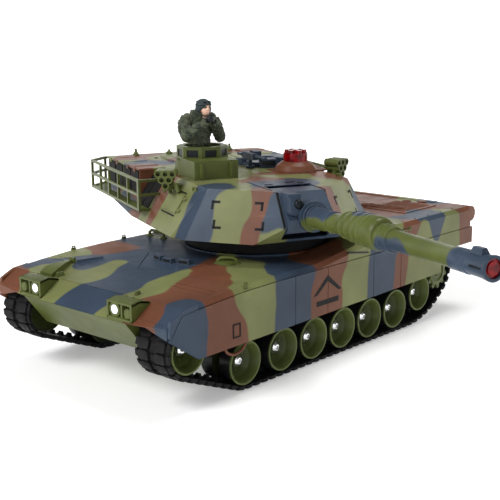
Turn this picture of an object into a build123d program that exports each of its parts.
from build123d import *
import os
from math import atan2, cos, degrees, floor, radians, sin

# Radio-controlled battle tank, 1:24. Millimetres, +Z up.
# Hull frame: +X forward, +Y port, Z = 0 on the ground, the turret ring's axis through X = 0, Y = 0.
# Turret frame: the same, turned about the ring by TRAVERSE, so its +X runs along the gun.

# ---- driving dimensions: hull ----
HULL_W = 152.5            # over the side skirts
TUB_HALF = 45.0           # half width of the lower hull
BELLY_Z = 19.5
FLANGE_Z = 52.0           # underside of the shelf over the tracks
WALL = 2.0
NOSE_X = 157.3
TAIL_X = -150.0
SKIRT_T = 1.9
SKIRT_IN = HULL_W / 2 - SKIRT_T
DECK_Z = 63.6             # deck round the turret ring
REAR_DECK_Z = 75.4
RING_HOLE_R = 43.3

# ---- driving dimensions: running gear ----
WHEEL_R = 13.0
WHEEL_Z = 16.8
WHEEL_X = (92.1, 58.8, 29.4, 0.0, -29.4, -58.8)
REAR_WHEEL = (-89.0, 21.8, 12.2)      # X, Z and radius of the raised seventh wheel
IDLER = (137.3, 34.6, 13.0)
SPROCKET = (-113.0, 33.0, 12.8)
WHEEL_IN = 50.0           # inner and outer faces of the wheels, from the middle plane
WHEEL_OUT = 73.2
HUB_OUT = 66.2            # outer face of a wheel's hub, deep in its dish
SCREW_R = 1.5
RUNNING = 0.06            # radial clearance of a wheel on its screw
BELT_IN = 47.5
BELT_OUT = 73.5
BELT_T = 3.5
BELT_GAP = 0.3            # between a wheel's rim and the belt
TAIL_ARC_X = -75.0        # where the belt leaves the ground towards the sprocket

# ---- driving dimensions: gears ----
GEAR_MODULE = 0.8
OUTPUT_TEETH = 24
SMALL_TEETH = 10
BIG_TEETH = 20
PINION_TEETH = 8
RING_MODULE = 1.0
RING_TEETH = 88
TRAVERSE_TEETH = 12

# ---- driving dimensions: turret and gun ----
TRAVERSE = 65.6           # stored heading of the gun, degrees to port
ELEVATION = 1.9           # stored elevation
TURRET_Z = 77.0           # underside of the turret
ROOF_Z = 107.6
TURRET_WALL = 1.8
SLOT_HALF = 15.8          # half width of the gun's slot
TRUNNION = (52.0, 93.0)   # X and Z in the turret frame
MUZZLE_X = 258.2
CUPOLA = (-30.0, -26.5)
RECEIVER = (-9.0, 33.5)
RACK_HALF = 73.0
RACK_REAR = -161.0

# The row's origin is the ground point in the middle of the whole model's box.
MUZZLE_Y = MUZZLE_X * sin(radians(TRAVERSE)) + 6.2 * cos(radians(TRAVERSE))
RACK_Y = RACK_REAR * sin(radians(TRAVERSE)) - (RACK_HALF - 14) * cos(radians(TRAVERSE))
MIDDLE_Y = (MUZZLE_Y + RACK_Y) / 2
ROW = Location((0, -MIDDLE_Y, 0))
TURRET = ROW * Location((0, 0, 0), (0, 0, TRAVERSE))
GUN = TURRET * Location((TRUNNION[0], 0, TRUNNION[1]), (0, -ELEVATION, 0))

os.makedirs("parts", exist_ok=True)


def save(piece, name, place=ROW):
    """Move a finished piece from its own frame to the row's frame and write it."""
    piece.part.label = name
    placed = piece.part.moved(place)
    placed.label = name
    export_step(placed, f"parts/{name}.step")


def outline(plane, *points):
    """A closed polygon on a plane."""
    with BuildSketch(plane) as shape:
        with BuildLine():
            Polyline(*points, close=True)
        make_face()
    return shape.sketch


def profile(y_high, *points):
    """A polygon of (x, z) points on the plane y = y_high. Extruding it runs towards -Y."""
    return outline(Plane.XZ.offset(-y_high), *points)


def facing(side, near, far):
    """Distances from the middle plane as low and high Y on the port (1) or starboard (-1) side."""
    return (near, far) if side > 0 else (-far, -near)


def disc(x, z, radius, y_high):
    """A circle on the plane y = y_high, for extruding towards -Y."""
    with BuildSketch(Plane.XZ.offset(-y_high)) as shape:
        with Locations((x, z)):
            Circle(radius)
    return shape.sketch


def lathe(x, z, side, *points):
    """Half profile of (radius, distance from the middle plane) points about the axle at x, z."""
    return outline(Plane.XY.offset(z), *[(x + r, side * d) for r, d in points])


def polar(radius, angle, centre=(0.0, 0.0)):
    """A point from its distance and its angle in degrees about a centre."""
    return (centre[0] + radius * cos(radians(angle)), centre[1] + radius * sin(radians(angle)))


def mesh_angle(teeth, angle, direction, mate_teeth):
    """Angle of a tooth of the mate that meshes in that direction, all in degrees."""
    share = (direction - angle) * teeth / 360
    share -= floor(share)
    return direction + 180 - (0.5 - share) * 360 / mate_teeth


def gear_points(teeth, module, angle, centre=(0.0, 0.0)):
    """Outline of a spur gear with straight flanks and some backlash. A tooth points at angle."""
    pitch_r = module * teeth / 2
    pitch = 360 / teeth
    points = []
    for tooth in range(teeth):
        at = angle + tooth * pitch
        for radius, share in ((-1.1, -0.30), (0.8, -0.10), (0.8, 0.10), (-1.1, 0.30)):
            points.append(polar(pitch_r + radius * module, at + share * pitch, centre))
    return points


def belt_outline(plane, grow):
    """The belt's closed loop, its inner surface moved out by grow."""
    wheel_r = WHEEL_R + BELT_GAP + grow
    idler_r = IDLER[2] + BELT_GAP + grow
    sprocket_r = SPROCKET[2] + 0.5 + grow
    ground = WHEEL_Z - wheel_r
    full_r = SPROCKET[2] + 0.5 + BELT_T
    reach = SPROCKET[0] - TAIL_ARC_X
    arc_r = (reach**2 + SPROCKET[1]**2 - full_r**2) / (2 * (SPROCKET[1] - full_r))
    tail_r = arc_r - BELT_T + grow
    tail = (TAIL_ARC_X, arc_r)
    tail_angle = degrees(atan2(SPROCKET[1] - arc_r, reach)) % 360
    top_tilt = degrees(atan2(IDLER[1] - SPROCKET[1], IDLER[0] - SPROCKET[0]))
    bow_tilt = degrees(atan2(IDLER[1] - WHEEL_Z, IDLER[0] - WHEEL_X[0]))
    with BuildSketch(plane) as loop:
        with BuildLine():
            Line((WHEEL_X[0], ground), (TAIL_ARC_X, ground))
            CenterArc(tail, tail_r, 270, tail_angle - 270)
            CenterArc(SPROCKET[:2], sprocket_r, tail_angle, 90 + top_tilt - tail_angle)
            Line(polar(sprocket_r, 90 + top_tilt, SPROCKET[:2]), polar(idler_r, 90 + top_tilt, IDLER[:2]))
            CenterArc(IDLER[:2], idler_r, 90 + top_tilt, bow_tilt - 180 - top_tilt)
            Line(polar(idler_r, bow_tilt - 90, IDLER[:2]), polar(wheel_r, bow_tilt - 90, (WHEEL_X[0], WHEEL_Z)))
            CenterArc((WHEEL_X[0], WHEEL_Z), wheel_r, bow_tilt - 90, -bow_tilt)
        make_face()
    return loop.sketch


# ---- lower hull: a tub with a shelf over each track ----
tub_outline = ((118, BELLY_Z), (142.1, 30.1), (NOSE_X, 49.2), (143, 53.6), (TAIL_X, 53.6), (TAIL_X, 34),
               (-128, BELLY_Z))
tub_room = ((117.3, BELLY_Z + WALL), (140.6, 31.7), (152.6, 48), (143, 60), (TAIL_X + WALL, 60),
            (TAIL_X + WALL, 35.2), (-128.6, BELLY_Z + WALL))
AXLES = [(x, WHEEL_Z) for x in WHEEL_X] + [REAR_WHEEL[:2], IDLER[:2]]
BOSS_R = 4.2
BOSS_OUT = 49.6
with BuildPart() as lower_hull:
    extrude(profile(TUB_HALF, *tub_outline), amount=2 * TUB_HALF)
    extrude(profile(TUB_HALF - 1.8, *tub_room), amount=2 * TUB_HALF - 3.6, mode=Mode.SUBTRACT)
    for side in (1, -1):
        low, high = facing(side, TUB_HALF, SKIRT_IN)
        with Locations(((TAIL_X + 138) / 2, (low + high) / 2, FLANGE_Z + 0.8)):
            Box(138 - TAIL_X, high - low, 1.6)
        for x, z in AXLES:
            low, high = facing(side, TUB_HALF - 1.8, BOSS_OUT)
            extrude(disc(x, z, BOSS_R, high), amount=high - low)
            extrude(disc(x, z, SCREW_R, high), amount=high - low, mode=Mode.SUBTRACT)
        low, high = facing(side, TUB_HALF - 4, BOSS_OUT)
        extrude(disc(SPROCKET[0], SPROCKET[1], 3.1, high), amount=high - low, mode=Mode.SUBTRACT)
    with Locations((35, 0, BELLY_Z)):
        Box(110, 54, 8, mode=Mode.SUBTRACT)
    with Locations((-45, 20, BELLY_Z)):
        Box(13, 4.4, 8, mode=Mode.SUBTRACT)
save(lower_hull, "lower_hull")

with BuildPart() as battery_door:
    with Locations((35, 0, BELLY_Z + 0.8)):
        Box(109.4, 53.4, 1.6)
    with Locations(*[(35 + 10 * rib, 0, BELLY_Z) for rib in range(-4, 5)]):
        Box(1.2, 40, 0.8, mode=Mode.SUBTRACT)
save(battery_door, "battery_door")

CELL_R = 7.0
with BuildPart() as battery_pack:
    for row in (0, 1):
        with BuildSketch(Plane.YZ.offset(-16 + row * 51)):
            with Locations((0, BELLY_Z + 10.5)):
                with GridLocations(14.6, 0, 3, 1):
                    Circle(CELL_R)
        extrude(amount=50)
save(battery_pack, "battery_pack")

with BuildPart() as circuit_board:
    with Locations((75, 0, 42.8)):
        Box(70, 52, 1.6)
    with Locations((62, 8, 44.8), (86, -10, 44.8)):
        Box(14, 14, 2.4)
    with Locations((100, 12, 46.1), (50, -14, 46.1)):
        Box(8, 12, 5)
save(circuit_board, "circuit_board")

with BuildPart() as speaker:
    with BuildSketch(Plane.XY.offset(BELLY_Z + WALL)):
        with Locations((103, 0)):
            Circle(12)
    extrude(amount=5)
    with BuildSketch(Plane.XY.offset(BELLY_Z + WALL + 5)):
        with Locations((103, 0)):
            Circle(7)
    extrude(amount=3)
save(speaker, "speaker")

# ---- upper hull: deck, raised engine deck and side ramps in one moulding ----
BEVEL = 2.6               # along the deck's long edges
deck_top = ((NOSE_X, 49.4), (142, 59.4), (123, 61.2), (99, 62.9), (72, DECK_Z))
deck_room = ((145.5, 53.6), (141.2, 57.4), (123, 59.2), (99, 60.9), (72, DECK_Z - WALL))
rebate = ((160, 44), (145.4, 56.8), (123, 58.6), (99, 60.3), (72, 60.9), (-160, 60.6), (-160, 44))
ROLL = (-151.5, 69.9, 5.5)
SEAM_W = 0.5              # grooves between the deck's panels
SEAM_DEPTH = 0.5
HATCH_SEAM = ((72, -28), (97, -9), (104, -2.5), (104, 2.5), (97, 9), (72, 28))    # before the driver's hatch
with BuildPart() as upper_hull:
    half = HULL_W / 2
    extrude(profile(half, *deck_top, (-55, DECK_Z), (-57, REAR_DECK_Z), (TAIL_X, REAR_DECK_Z),
                    (TAIL_X, 53.8), (143, 53.8)), amount=2 * half)
    for side in (1, -1):
        low, high = facing(side, 54, half)
        extrude(profile(high, (28, DECK_Z), (-62, REAR_DECK_Z), (-62, 60), (28, 60)), amount=high - low)
        deck_line = (*deck_top, (28, DECK_Z), (-62, REAR_DECK_Z), (TAIL_X - 1, REAR_DECK_Z))
        for near, far in zip(deck_line, deck_line[1:]):
            ends = [outline(Plane.YZ.offset(x), (side * (half - BEVEL - 1), z + 1), (side * (half + 1), z + 1),
                            (side * (half + 1), z - BEVEL - 1)) for x, z in (near, far)]
            loft(sections=ends, ruled=True, mode=Mode.SUBTRACT)
    for side in (1, -1):
        low, high = facing(side, SKIRT_IN - 0.2, half + 1)
        extrude(profile(high, *rebate), amount=high - low, mode=Mode.SUBTRACT)
    inner = SKIRT_IN - WALL
    extrude(profile(inner, *deck_room, (-57.2, DECK_Z - WALL), (-59.2, REAR_DECK_Z - WALL),
                    (TAIL_X + WALL, REAR_DECK_Z - WALL), (TAIL_X + WALL, 50), (145.5, 50)),
            amount=2 * inner, mode=Mode.SUBTRACT)
    with BuildSketch(Plane.XY.offset(DECK_Z + 4)):
        Circle(RING_HOLE_R)
    extrude(amount=-14, mode=Mode.SUBTRACT)
    with BuildSketch(Plane.XY.offset(DECK_Z)):
        Circle(50)
        Circle(RING_HOLE_R, mode=Mode.SUBTRACT)
    extrude(amount=1.2)
    extrude(disc(ROLL[0], ROLL[1], ROLL[2], half - 0.4), amount=2 * half - 0.8)
    for side in (1, -1):
        corner = outline(Plane.XY.offset(40), (NOSE_X + 2, side * 46), (NOSE_X, side * 47),
                         (154.4, side * (half + 1)), (NOSE_X + 2, side * (half + 1)))
        extrude(corner, amount=30, mode=Mode.SUBTRACT)
        flap = outline(Plane.YZ.offset(152.6), (side * 47.4, 51.4), (side * 74, 51.4), (side * 74, 44.4))
        extrude(flap, amount=1.6)
    with Locations((142, 0, 59.4)):
        Box(SEAM_W, 58, 2 * SEAM_DEPTH, mode=Mode.SUBTRACT)
    for side in (1, -1):
        with Locations((112, side * 54, 62.0), (117, side * 54, 61.7)):
            Box(SEAM_W, 32, 2 * SEAM_DEPTH, mode=Mode.SUBTRACT)
    with BuildSketch(Plane.XY.offset(62.2)):
        with BuildLine():
            Polyline(*HATCH_SEAM)
        trace(line_width=SEAM_W)
    extrude(amount=4, mode=Mode.SUBTRACT)
save(upper_hull, "upper_hull")

# ---- plates on the hull ----
skirt = ((132.8, 29.8), (153.8, 43.9), (144.6, 56.4), (123, 58.1), (99, 59.8), (72, 60.4), (-153.2, 60.1),
         (-153.2, 48.5), (-111.6, 48.5), (-111.6, 33.0))
SEAMS = (51.0, 19.7, -28.8, -60.2)
for side, name in ((1, "side_skirt_left"), (-1, "side_skirt_right")):
    with BuildPart() as side_skirt:
        low, high = facing(side, SKIRT_IN, HULL_W / 2)
        extrude(profile(high, *skirt), amount=high - low)
        with Locations(*[(x, side * HULL_W / 2, 46) for x in SEAMS]):
            Box(0.5, 0.8, 60, mode=Mode.SUBTRACT)
    save(side_skirt, name)

REAR_PLATE_T = 3.0
with BuildPart() as rear_plate:
    with Locations((TAIL_X - REAR_PLATE_T / 2, 0, 55.9)):
        Box(REAR_PLATE_T, 2 * SKIRT_IN - 0.6, 14.4)
    with Locations((TAIL_X - REAR_PLATE_T / 2, 0, 43)):
        Box(REAR_PLATE_T, 2 * TUB_HALF - 2, 11.6)
    for y in (-22, 22):
        with Locations(*[(TAIL_X - REAR_PLATE_T, y, 40.5 + 2.9 * row) for row in range(7)]):
            Box(3, 36, 1.5, mode=Mode.SUBTRACT)
    with Locations(*[(TAIL_X - REAR_PLATE_T - 0.9, y, 55) for y in (-62, 62)]):
        Box(1.8, 12, 7)
save(rear_plate, "rear_plate")

GUARD_Y = 39.8
GUARD_W = 20.4
LAMP = (35.4, 55.4, 3.3)          # Y, Z and radius of the main lamp
SIDE_LAMP = (46.0, 54.6, 2.0)
guard = ((156.9, 49.95), (156.9, 60.2), (150, 61.4), (143.4, 59.6), (142.2, 59.45))
with BuildPart() as headlight_guards:
    for side in (1, -1):
        low, high = facing(side, GUARD_Y - GUARD_W / 2, GUARD_Y + GUARD_W / 2)
        extrude(profile(high, *guard), amount=high - low)
        for y, z, radius in (LAMP, SIDE_LAMP):
            with BuildSketch(Plane.YZ.offset(157.5)):
                with Locations((side * y, z)):
                    Circle(radius)
            extrude(amount=-4.4, mode=Mode.SUBTRACT)
save(headlight_guards, "headlight_guards")

with BuildPart() as headlight_lenses:
    for side in (1, -1):
        for y, z, radius in (LAMP, SIDE_LAMP):
            with BuildSketch(Plane.YZ.offset(153.3)):
                with Locations((side * y, z)):
                    Circle(radius - 0.1)
            extrude(amount=3)
save(headlight_lenses, "headlight_lenses")

# ---- drive: gearboxes, motors, gears and sprockets ----
BOX_X = (-126.6, -82.4)
BOX_Z = (BELLY_Z + WALL + 0.1, 47.0)
BOX_IN = 24.0
BOX_OUT = TUB_HALF - 1.9
BOX_T = 1.0
layshaft = polar(GEAR_MODULE * (OUTPUT_TEETH + SMALL_TEETH) / 2 + 0.1, 12, SPROCKET[:2])
motor_axis = polar(GEAR_MODULE * (BIG_TEETH + PINION_TEETH) / 2 + 0.1, -15, layshaft)
small_angle = mesh_angle(OUTPUT_TEETH, 0, 12, SMALL_TEETH)
pinion_angle = mesh_angle(BIG_TEETH, 0, -15, PINION_TEETH)
for side, name in ((1, "left"), (-1, "right")):
    with BuildPart() as gearbox:
        low, high = facing(side, BOX_IN, BOX_OUT)
        middle = ((BOX_X[0] + BOX_X[1]) / 2, (low + high) / 2, (BOX_Z[0] + BOX_Z[1]) / 2)
        with Locations(middle):
            Box(BOX_X[1] - BOX_X[0], high - low, BOX_Z[1] - BOX_Z[0])
            Box(BOX_X[1] - BOX_X[0] - 2 * BOX_T, high - low - 2 * BOX_T, BOX_Z[1] - BOX_Z[0] - 2 * BOX_T,
                mode=Mode.SUBTRACT)
        low, high = facing(side, BOX_OUT - 2, BOX_OUT + 1)
        extrude(disc(*SPROCKET[:2], 3.1, high), amount=high - low, mode=Mode.SUBTRACT)
        extrude(disc(*layshaft, 1.26, high), amount=high - low, mode=Mode.SUBTRACT)
        low, high = facing(side, BOX_IN - 1, BOX_IN + 2)
        extrude(disc(*layshaft, 1.26, high), amount=high - low, mode=Mode.SUBTRACT)
        extrude(disc(*motor_axis, 1.4, high), amount=high - low, mode=Mode.SUBTRACT)
    save(gearbox, f"gearbox_{name}")

    with BuildPart() as reduction_gear:
        low, high = facing(side, 35.6, 41.4)
        extrude(profile(high, *gear_points(SMALL_TEETH, GEAR_MODULE, small_angle, layshaft)), amount=high - low)
        low, high = facing(side, 29, 33.5)
        extrude(profile(high, *gear_points(BIG_TEETH, GEAR_MODULE, 0, layshaft)), amount=high - low)
        low, high = facing(side, BOX_IN + 0.2, BOX_OUT - 0.2)
        extrude(disc(*layshaft, 1.2, high), amount=high - low)
        low, high = facing(side, 33.5, 35.6)
        extrude(disc(*layshaft, 2.4, high), amount=high - low)
    save(reduction_gear, f"reduction_gear_{name}")

    with BuildPart() as motor_pinion:
        low, high = facing(side, 28.6, 34)
        extrude(profile(high, *gear_points(PINION_TEETH, GEAR_MODULE, pinion_angle, motor_axis)),
                amount=high - low)
        low, high = facing(side, BOX_IN + 0.2, 28.6)
        extrude(disc(*motor_axis, 1.0, high), amount=high - low)
    save(motor_pinion, f"motor_pinion_{name}")

    with BuildPart() as output_gear:
        low, high = facing(side, 36, 41)
        extrude(profile(high, *gear_points(OUTPUT_TEETH, GEAR_MODULE, 0, SPROCKET[:2])), amount=high - low)
        extrude(disc(*SPROCKET[:2], 3.0, high), amount=high - low, mode=Mode.SUBTRACT)
    save(output_gear, f"output_gear_{name}")

    with BuildPart() as sprocket:
        x, z, tip = SPROCKET
        rings = lathe(x, z, side, (0, 35.8), (3, 35.8), (3, 50.5), (9.6, 50.5), (9.6, 53), (8, 54.5), (8, 68.5),
                      (9.6, 70), (9.6, 72.6), (6.8, 73.0), (6.0, 70.8), (3.6, 70.8), (3.2, 73.6), (0, 73.6))
        revolve(rings, axis=Axis((x, 0, z), (0, 1, 0)))
        for near in (51.0, 70.2):
            low, high = facing(side, near, near + 2)
            teeth = []
            for tooth in range(11):
                at = tooth * 360 / 11
                for radius, share in ((9.2, -15), (tip, -4.5), (tip, 4.5), (9.2, 15)):
                    teeth.append(polar(radius, at + share, (x, z)))
            extrude(profile(high, *teeth), amount=high - low)
    save(sprocket, f"sprocket_{name}")

MOTOR_LONG = 21.0
PINION_X = -(RING_TEETH + TRAVERSE_TEETH) * RING_MODULE / 2 - 0.1
with BuildPart() as hull_motors:
    for side in (1, -1):
        low, high = facing(side, BOX_IN - MOTOR_LONG, BOX_IN)
        extrude(disc(*motor_axis, 9.8, high), amount=high - low)
        extrude(disc(*motor_axis, 1.4, high), amount=high - low, mode=Mode.SUBTRACT)
    with BuildSketch(Plane.XY.offset(36)):
        with Locations((PINION_X, 0)):
            Circle(8)
    extrude(amount=19)
    with BuildSketch(Plane.XY.offset(55)):
        with Locations((PINION_X, 0)):
            Circle(1.6)
    extrude(amount=-6, mode=Mode.SUBTRACT)
save(hull_motors, "hull_motors")

# ---- road wheels, idlers, screws and belts ----
def wheel_profile(radius):
    """Half profile of a dished twin wheel: (radius, distance from the middle plane)."""
    rim = radius - 1.1
    bore = SCREW_R + RUNNING
    return ((bore, WHEEL_IN), (4.4, WHEEL_IN), (4.4, WHEEL_IN + 2.4), (rim - 0.4, WHEEL_IN + 0.8),
            (rim, WHEEL_IN), (radius, WHEEL_IN), (radius, 58.8), (radius - 4, 59.4), (radius - 4.4, 64),
            (radius, 64.6), (radius, WHEEL_OUT), (rim, WHEEL_OUT), (rim - 0.7, WHEEL_OUT - 1.4),
            (rim - 2.6, WHEEL_OUT - 5.6), (5.4, HUB_OUT - 1.6), (4.6, HUB_OUT - 2), (4.0, HUB_OUT - 1.8),
            (3.7, HUB_OUT), (bore, HUB_OUT))


def wheel(x, z, radius, side, name):
    """A dished wheel that turns on its screw."""
    with BuildPart() as piece:
        revolve(lathe(x, z, side, *wheel_profile(radius)), axis=Axis((x, 0, z), (0, 1, 0)))
    save(piece, name)


for side, name in ((1, "left"), (-1, "right")):
    for number, x in enumerate(WHEEL_X, start=1):
        wheel(x, WHEEL_Z, WHEEL_R, side, f"road_wheel_{name}_{number}")
    wheel(*REAR_WHEEL, side, f"road_wheel_{name}_7")
    wheel(*IDLER, side, f"idler_wheel_{name}")

with BuildPart() as wheel_screws:
    for side in (1, -1):
        for x, z in AXLES:
            shank = lathe(x, z, side, (0, TUB_HALF - 1.7), (SCREW_R, TUB_HALF - 1.7), (SCREW_R, HUB_OUT + 0.3),
                          (2.9, HUB_OUT + 0.3), (2.9, HUB_OUT + 1.2), (1.9, HUB_OUT + 2.1), (1.2, HUB_OUT + 2.2),
                          (1.0, HUB_OUT + 1.2), (0, HUB_OUT + 1.2))
            revolve(shank, axis=Axis((x, 0, z), (0, 1, 0)))
save(wheel_screws, "wheel_screws")

for side, name in ((1, "track_left"), (-1, "track_right")):
    with BuildPart() as track:
        low, high = facing(side, BELT_IN, BELT_OUT)
        plane = Plane.XZ.offset(-high)
        extrude(belt_outline(plane, BELT_T), amount=high - low)
        extrude(belt_outline(plane, 0), amount=high - low, mode=Mode.SUBTRACT)
    save(track, name)

# ---- traverse drive and power switch ----
RING_GEAR_Z = 57.2
ring_heading = 180 - TRAVERSE
traverse_angle = mesh_angle(RING_TEETH, 0, ring_heading, TRAVERSE_TEETH) + TRAVERSE
with BuildPart() as traverse_pinion:
    points = gear_points(TRAVERSE_TEETH, RING_MODULE, traverse_angle, (PINION_X, 0))
    extrude(outline(Plane.XY.offset(RING_GEAR_Z), *points), amount=3)
    with BuildSketch(Plane.XY.offset(50)):
        with Locations((PINION_X, 0)):
            Circle(1.5)
    extrude(amount=RING_GEAR_Z - 50)
save(traverse_pinion, "traverse_pinion")

with BuildPart() as power_switch:
    with Locations((-48.5, 20, BELLY_Z + 0.6)):
        Box(5, 3.8, 3.6)
    with Locations((-48.5, 20, BELLY_Z + WALL + 0.9)):
        Box(11, 8, 1)
save(power_switch, "power_switch")

with BuildPart() as hull_screws:
    for x, y in ((-110, 0), (110, 28), (110, -28), (-30, -34), (-30, 34), (28, 33), (28, -33)):
        with BuildSketch(Plane.XY.offset(BELLY_Z - 0.9)):
            with Locations((x, y)):
                Circle(2.2)
                RegularPolygon(1.0, 6, mode=Mode.SUBTRACT)
        extrude(amount=0.9)
save(hull_screws, "hull_screws")

# ---- turret, in the turret frame ----
ROOF_CORNERS = ((68.5, 15.7), (35.1, 50.6))          # the cheek's top edge
FOOT_CORNERS = ((72.2, 29.2), (39.1, 63.4))          # its bottom edge, at FOOT_Z
FOOT_Z = 79.5
NOTCH = (80.5, 15.5, 88.1)
SIDE_FOOT = 68.5                                     # half width at FOOT_Z
SIDE_ROOF = 49.6                                     # half width at the roof
BUSTLE_X = -148.0


def facet(side, first, second, third, inset):
    """A turret face's plane from three points, pointing out and moved in by inset."""
    a, b, c = [Vector(x, side * y, z) for x, y, z in (first, second, third)]
    normal = (b - a).cross(c - a).normalized()
    if normal.dot(a - Vector(-20, 0, 92)) < 0:
        normal = -normal
    return Plane(origin=a - normal * inset, z_dir=normal)


def turret_body(inset):
    """The turret's faceted outer form, every face moved in by inset."""
    top = ROOF_Z - inset
    with BuildPart() as body:
        extrude(profile(90, (90, TURRET_Z + inset), (-55, TURRET_Z + inset), (BUSTLE_X + inset, 84 + inset),
                        (BUSTLE_X + inset, top), (90, top)), amount=180)
        for side in (1, -1):
            cheek = facet(side, (*ROOF_CORNERS[0], ROOF_Z), (*ROOF_CORNERS[1], ROOF_Z),
                          (*FOOT_CORNERS[0], FOOT_Z), inset)
            flank = facet(side, (0, SIDE_FOOT, FOOT_Z), (-50, SIDE_FOOT, FOOT_Z), (0, SIDE_ROOF, ROOF_Z), inset)
            edge = facet(side, (37.4, 64.6, FOOT_Z), (32.5, 50.4, ROOF_Z), (29.0, 67.6, FOOT_Z), inset)
            chin = facet(side, NOTCH, (*FOOT_CORNERS[0], FOOT_Z), (72.2, 0, FOOT_Z), inset)
            corner = facet(side, (BUSTLE_X, 44, 90), (BUSTLE_X, 44, 100), (BUSTLE_X + 14, 58, 90), inset)
            for plane in (cheek, flank, edge, chin, corner):
                split(bisect_by=plane, keep=Keep.BOTTOM)
    return body.part


SLOT_REAR = TRUNNION[0] - 15.2
STOWAGE_FRONT = -60.0
STOWAGE_REAR = -137.0
STOWAGE_HALF = 61.5                                  # half width over the stowage boxes inside the basket
with BuildPart() as turret_shell:
    add(turret_body(0))
    with Locations(((STOWAGE_FRONT + STOWAGE_REAR) / 2, 0, (88 + ROOF_Z) / 2)):
        Box(STOWAGE_FRONT - STOWAGE_REAR, 2 * STOWAGE_HALF, ROOF_Z - 88)
    add(turret_body(TURRET_WALL), mode=Mode.SUBTRACT)
    with Locations((SLOT_REAR + 30, 0, TURRET_Z + 25)):
        Box(60, 2 * SLOT_HALF, 46, mode=Mode.SUBTRACT)
    with BuildSketch(Plane.XY.offset(TURRET_Z - 1)):
        Circle(46)
    extrude(amount=6, mode=Mode.SUBTRACT)
save(turret_shell, "turret_shell", TURRET)

NECK_R = 43.0
with BuildPart() as turret_base:
    with BuildSketch(Plane.XY.offset(TURRET_Z)):
        Circle(45.8)
        Circle(37, mode=Mode.SUBTRACT)
    extrude(amount=1.6)
    with BuildSketch(Plane.XY.offset(TURRET_Z)):
        Circle(48)
        Circle(40, mode=Mode.SUBTRACT)
    extrude(amount=65.4 - TURRET_Z)
    with BuildSketch(Plane.XY.offset(65.4)):
        Circle(NECK_R)
        Circle(40, mode=Mode.SUBTRACT)
    extrude(amount=RING_GEAR_Z + 3 - 65.4)
save(turret_base, "turret_base", TURRET)

with BuildPart() as turret_ring_gear:
    extrude(outline(Plane.XY.offset(RING_GEAR_Z), *gear_points(RING_TEETH, RING_MODULE, 0)), amount=3)
    with BuildSketch(Plane.XY.offset(RING_GEAR_Z)):
        Circle(39)
    extrude(amount=3, mode=Mode.SUBTRACT)
save(turret_ring_gear, "turret_ring_gear", TURRET)

# ---- roof fittings ----
CUPOLA_FLOOR = 117.5
with BuildPart() as cupola_ring:
    with BuildSketch(Plane.XY.offset(ROOF_Z)):
        with Locations(CUPOLA):
            Circle(19.0)
    extrude(amount=CUPOLA_FLOOR - ROOF_Z, taper=6)
    with BuildSketch(Plane.XY.offset(CUPOLA_FLOOR)):
        with Locations(CUPOLA):
            RegularPolygon(17.4, 8, rotation=22.5)
            Circle(12.4, mode=Mode.SUBTRACT)
    extrude(amount=9)
    with BuildSketch(Plane.XY.offset(CUPOLA_FLOOR + 2.2)):
        with Locations(CUPOLA):
            with PolarLocations(16.4, 8):
                Rectangle(2.4, 8.4)
    extrude(amount=4.8, mode=Mode.SUBTRACT)
save(cupola_ring, "cupola_ring", TURRET)

SIGHT_TOP = 119.6
with BuildPart() as sight_housing:
    with Locations(((3 - 24) / 2, -29.4, (ROOF_Z + SIGHT_TOP) / 2)):
        Box(27, 30.6, SIGHT_TOP - ROOF_Z)
    with BuildSketch(Plane.XY.offset(ROOF_Z)):
        with Locations(CUPOLA):
            Circle(19.3)
    extrude(amount=SIGHT_TOP - ROOF_Z, mode=Mode.SUBTRACT)
    with Locations((3, -30, ROOF_Z + 6.4)):
        Box(7, 19, 7.6, mode=Mode.SUBTRACT)
    with Locations((4.4, -19.6, ROOF_Z + 6.2), (4.4, -40.4, ROOF_Z + 6.2)):
        Box(2.8, 1.4, 9)
save(sight_housing, "sight_housing", TURRET)

with BuildPart() as receiver_base:
    cone = outline(Plane.XZ, (0, ROOF_Z), (14.8, ROOF_Z), (14.6, ROOF_Z + 1.6), (12.6, ROOF_Z + 4.6),
                   (9.4, ROOF_Z + 6.8), (8.6, ROOF_Z + 7.2), (0, ROOF_Z + 7.2))
    revolve(cone, axis=Axis.Z)
save(receiver_base, "receiver_base", TURRET * Location((*RECEIVER, 0)))

with BuildPart() as receiver_lens:
    with BuildSketch(Plane.XY.offset(ROOF_Z + 7.2)):
        Circle(8.3)
    extrude(amount=5.6)
    with BuildSketch(Plane.XY.offset(ROOF_Z + 12.8)):
        with PolarLocations(5.6, 6):
            Circle(1.9)
        Circle(2.4)
    extrude(amount=2)
save(receiver_lens, "receiver_lens", TURRET * Location((*RECEIVER, 0)))

TUBE_ROWS = ((-4.6, 1.9), (0, 1.9), (4.6, 1.9), (-2.3, -1.9), (2.3, -1.9), (0, -5.7))
MOUTH = (2.0, 64.5, 111.0)        # middle of the port cluster's front face
SPLAY = radians(28)               # the tubes point this far outwards
port_flank = facet(1, (0, SIDE_FOOT, FOOT_Z), (-50, SIDE_FOOT, FOOT_Z), (0, SIDE_ROOF, ROOF_Z), 0)
with BuildPart() as smoke_launchers:
    front = Plane(origin=MOUTH, x_dir=(-sin(SPLAY), cos(SPLAY), 0), z_dir=(cos(SPLAY), sin(SPLAY), 0))
    with BuildSketch(front):
        with Locations(*TUBE_ROWS):
            Circle(2.5)
        Polygon((-4.6, 4.2), (4.6, 4.2), (1.6, -7), (-1.6, -7), align=None)
    extrude(amount=-11)
    with BuildSketch(front):
        with Locations(*TUBE_ROWS):
            Circle(1.5)
    extrude(amount=-4, mode=Mode.SUBTRACT)
    with Locations((-4, 56, 103.6)):
        Box(7, 14, 3)
    split(bisect_by=port_flank, keep=Keep.TOP)
    mirror(about=Plane.XZ)
save(smoke_launchers, "smoke_launchers", TURRET)

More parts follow.
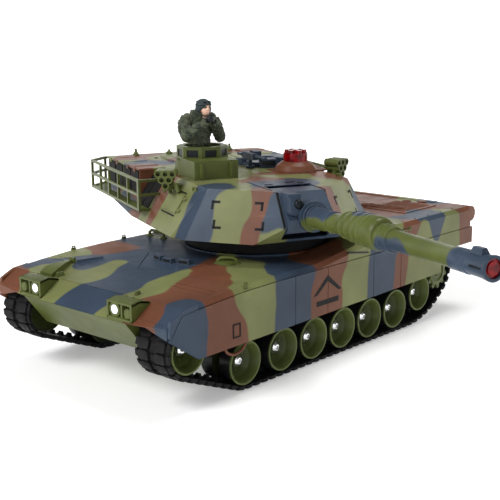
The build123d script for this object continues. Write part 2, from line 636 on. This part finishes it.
RAIL = 1.7
RAIL_Z = (84.4, 94.4, 104.0)
RACK_FRONT = -30.0
RACK_FLOOR = 0.9


def rack_loop(plane, inset):
    """The rack's U-shaped outline, closed across its open front."""
    half = RACK_HALF - inset
    rear = RACK_REAR + inset
    return outline(plane, (RACK_FRONT, half), (rear + 14, half), (rear, half - 14), (rear, 14 - half),
                   (rear + 14, -half), (RACK_FRONT, -half))


with BuildPart() as bustle_rack:
    for z in RAIL_Z:
        plane = Plane.XY.offset(z)
        extrude(rack_loop(plane, 0), amount=RAIL)
        cut = Plane.XY.offset(z - 1)
        extrude(rack_loop(cut, RAIL), amount=RAIL + 2, mode=Mode.SUBTRACT)
        with Locations((RACK_FRONT + RAIL / 2, 0, z + RAIL / 2)):
            Box(RAIL, 2 * RACK_HALF, RAIL)
    posts = [(x, side * (RACK_HALF - RAIL / 2)) for side in (1, -1) for x in range(-146, -30, 23)]
    posts += [(RACK_FRONT + RAIL / 2, side * (RACK_HALF - RAIL / 2)) for side in (1, -1)]
    posts += [(RACK_REAR + RAIL / 2, y) for y in range(-58, 59, 29)]
    with Locations(*[(x, y, (RAIL_Z[0] + RAIL_Z[2] + RAIL) / 2) for x, y in posts]):
        Box(RAIL, RAIL, RAIL_Z[2] - RAIL_Z[0] + RAIL)
    extrude(rack_loop(Plane.XY.offset(RAIL_Z[0]), 0.2), amount=RACK_FLOOR)
    with Locations(*[(RACK_REAR + 8, y, z + RAIL / 2) for y in (-29, 29) for z in (RAIL_Z[0], RAIL_Z[2])]):
        Box(16, RAIL, RAIL)
    add(turret_body(0), mode=Mode.SUBTRACT)
    with Locations(((RACK_FRONT + BUSTLE_X) / 2, 0, 100)):
        Box(RACK_FRONT - BUSTLE_X, 2 * SIDE_ROOF - 4, 60, mode=Mode.SUBTRACT)
save(bustle_rack, "bustle_rack", TURRET)

LOADER = (-50.0, 27.0)
GUN_POST = (-38.0, 12.5)
with BuildPart() as loader_hatch:
    with BuildSketch(Plane.XY.offset(ROOF_Z)):
        with Locations(LOADER):
            Circle(14)
    extrude(amount=1.6)
    with BuildSketch(Plane.XY.offset(ROOF_Z + 1.6)):
        with Locations(LOADER):
            Circle(11.5)
    extrude(amount=1.2)
    with Locations((LOADER[0] + 8.5, LOADER[1], ROOF_Z + 3.6)):
        Box(4, 11, 4)
save(loader_hatch, "loader_hatch", TURRET)

with BuildPart() as machine_gun:
    with BuildSketch(Plane.XY.offset(ROOF_Z + 0.1)):
        Circle(3.2)
    extrude(amount=1.4)
    with BuildSketch(Plane.XY.offset(ROOF_Z + 1.5)):
        Circle(1.3)
    extrude(amount=5)
    with Locations((-1, 0, ROOF_Z + 8.4)):
        Box(20, 3.6, 4.4)
    with Locations((-1, 4.4, ROOF_Z + 8.6)):
        Box(8, 5.6, 6)
    with BuildSketch(Plane.YZ.offset(9)):
        with Locations((0, ROOF_Z + 9)):
            Circle(1.1)
    extrude(amount=17)
    with Locations((-14, 0, ROOF_Z + 8.4)):
        Box(7, 5, 1.6)
save(machine_gun, "machine_gun", TURRET * Location((*GUN_POST, 0)))

# ---- commander: one moulded half figure standing in the cupola ----
HEAD_Z = 151.6
with BuildPart() as commander:
    for z, across, deep, shift in ((CUPOLA_FLOOR + 0.1, 9.4, 7.6, 0), (128, 9.0, 7.2, 0), (137, 12.4, 8.4, 0.4),
                                   (142.5, 12.0, 7.0, 0), (146, 4.4, 4.4, 0.6)):
        with BuildSketch(Plane.XY.offset(z)):
            with Locations((shift, 0)):
                Ellipse(deep, across)
    loft()
    with Locations((1.2, 0, HEAD_Z)):
        Sphere(6.3)
    for side in (1, -1):
        with BuildSketch(Plane.XZ.offset(-side * 12.4)):
            with Locations((1, 134.5)):
                Ellipse(4.2, 7.4)
        extrude(amount=3.4, both=True)
    with BuildSketch(Plane.YZ.offset(2)):
        with Locations((0, 133)):
            Ellipse(13.4, 3.8)
    extrude(amount=8.6)
save(commander, "commander", TURRET * Location((*CUPOLA, 0)))

with BuildPart() as elevation_motor:
    with Locations((14, 0, TURRET_Z + 3)):
        Box(26, 16, 2.4)
    with BuildSketch(Plane.YZ.offset(4)):
        with Locations((0, TURRET_Z + 10.2)):
            Circle(7)
    extrude(amount=20)
    with BuildSketch(Plane.YZ.offset(24)):
        with Locations((0, TURRET_Z + 10.2)):
            Circle(1.2)
    extrude(amount=5)
save(elevation_motor, "elevation_motor", TURRET)

# ---- gun, in its own frame: X along the bore, origin on the trunnion ----
MANTLET_R = 14.2
MANTLET_HALF = SLOT_HALF - 0.4
mantlet_front = ((0, MANTLET_R), (16, MANTLET_R - 0.6), (30.5, -1.5), (27.5, -9.4), (10, -12.6), (0, -MANTLET_R))
with BuildPart() as gun_mantlet:
    extrude(profile(MANTLET_HALF, *mantlet_front), amount=2 * MANTLET_HALF)
    extrude(disc(0, 0, MANTLET_R, MANTLET_HALF), amount=2 * MANTLET_HALF)
    with BuildSketch(Plane.YZ.offset(26)):
        Circle(9.4)
    extrude(amount=7.2)
    with BuildSketch(Plane.YZ.offset(16)):
        with Locations((-9.4, 5.6)):
            Circle(3.4)
    extrude(amount=13)
    with BuildSketch(Plane.YZ.offset(8)):
        Circle(6.75)
    extrude(amount=40, mode=Mode.SUBTRACT)
save(gun_mantlet, "gun_mantlet", GUN)

BORE_R = 4.6
REACH = (MUZZLE_X - TRUNNION[0]) / cos(radians(ELEVATION))
tube = ((8, 0), (8, 6.75), (47, 6.55), (48, 5.9), (70, 5.9), (72, 8.6), (75, 9.3), (100, 9.3), (106, 8.4),
        (110, 6.6), (113, 6.6), (114, 7.2), (124, 7.2), (127, 5.4), (176, 5.05), (177, 5.6), (186, 5.6),
        (186.6, 5.2), (188, 5.2), (188.6, 5.7), (202.5, 5.8), (203, 6.2), (REACH, 6.2), (REACH, BORE_R),
        (REACH - 9, BORE_R), (REACH - 9, 0))
with BuildPart() as gun_barrel:
    revolve(outline(Plane.XZ, *tube), axis=Axis.X)
    with Locations((199, 0, 7.0)):
        Box(10.6, 4.2, 4.0)
save(gun_barrel, "gun_barrel", GUN)

with BuildPart() as muzzle_lens:
    with BuildSketch(Plane.YZ.offset(REACH - 9)):
        Circle(BORE_R - 0.05)
    extrude(amount=7.4)
    with BuildSketch(Plane.YZ.offset(REACH - 1.6)):
        Circle(3.2)
    extrude(amount=1)
save(muzzle_lens, "muzzle_lens", GUN)
